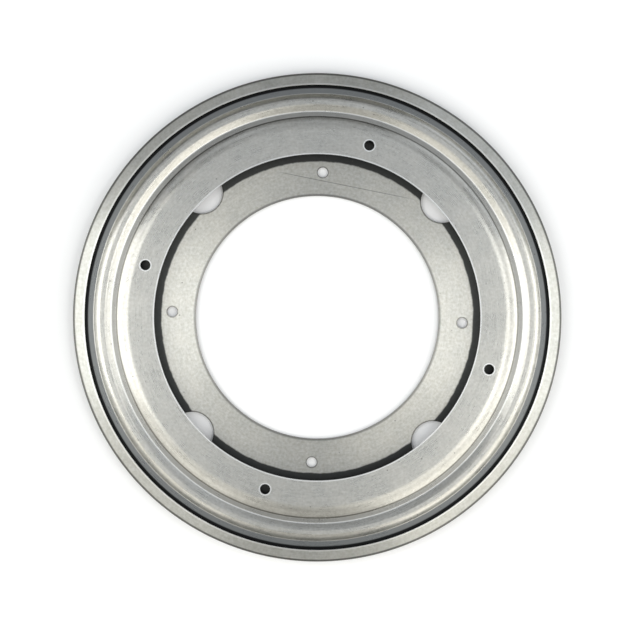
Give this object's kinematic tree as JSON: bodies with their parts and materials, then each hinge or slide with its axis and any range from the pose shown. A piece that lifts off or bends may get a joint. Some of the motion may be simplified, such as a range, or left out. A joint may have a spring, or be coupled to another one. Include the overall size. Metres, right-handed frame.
{
  "type": "lazy susan turntable",
  "caption": "Round pressed-steel swivel bearing: a turning plate rides on caged balls inside a base plate whose edge folds over its lip, round a large open centre.",
  "frame": {"origin": "centre of the base plate's underside, on the axis of rotation", "axes": "+Z along the axis of rotation, up towards the turning plate; +X through one of the base plate's screw holes"},
  "size_m": [0.2286, 0.2286, 0.0079],
  "materials": {
    "galvanised_plate": "satin zinc-coated sheet",
    "strip_steel": "plain rolled strip",
    "bearing_ball": "ground and polished"
  },
  "bodies": {
    "base": {"base_plate": "galvanised_plate"},
    "turntable": {"turning_plate": "galvanised_plate"},
    "ball_set": {"ball_cage": "strip_steel", "ball_01": "bearing_ball", "ball_02": "bearing_ball", "ball_03": "bearing_ball", "ball_04": "bearing_ball", "ball_05": "bearing_ball", "ball_06": "bearing_ball", "ball_07": "bearing_ball", "ball_08": "bearing_ball", "ball_09": "bearing_ball", "ball_10": "bearing_ball", "ball_11": "bearing_ball", "ball_12": "bearing_ball", "ball_13": "bearing_ball", "ball_14": "bearing_ball", "ball_15": "bearing_ball", "ball_16": "bearing_ball", "ball_17": "bearing_ball", "ball_18": "bearing_ball", "ball_19": "bearing_ball", "ball_20": "bearing_ball", "ball_21": "bearing_ball", "ball_22": "bearing_ball", "ball_23": "bearing_ball", "ball_24": "bearing_ball", "ball_25": "bearing_ball", "ball_26": "bearing_ball", "ball_27": "bearing_ball", "ball_28": "bearing_ball", "ball_29": "bearing_ball", "ball_30": "bearing_ball", "ball_31": "bearing_ball", "ball_32": "bearing_ball", "ball_33": "bearing_ball", "ball_34": "bearing_ball", "ball_35": "bearing_ball", "ball_36": "bearing_ball", "ball_37": "bearing_ball", "ball_38": "bearing_ball", "ball_39": "bearing_ball", "ball_40": "bearing_ball", "ball_41": "bearing_ball", "ball_42": "bearing_ball", "ball_43": "bearing_ball", "ball_44": "bearing_ball", "ball_45": "bearing_ball", "ball_46": "bearing_ball", "ball_47": "bearing_ball", "ball_48": "bearing_ball"}
  },
  "joints": [
    {"name": "turntable_spin", "type": "hinge", "parent": "base", "child": "turntable", "pos_m": [0, 0, 0.00397], "axis": [0, 0, 1], "continuous": true},
    {"name": "ball_orbit", "type": "hinge", "parent": "base", "child": "ball_set", "pos_m": [0, 0, 0.00397], "axis": [0, 0, 1], "continuous": true}
  ],
  "couplings": [
    {"joint": "ball_orbit", "follows": "turntable_spin", "ratio": 0.5}
  ]
}
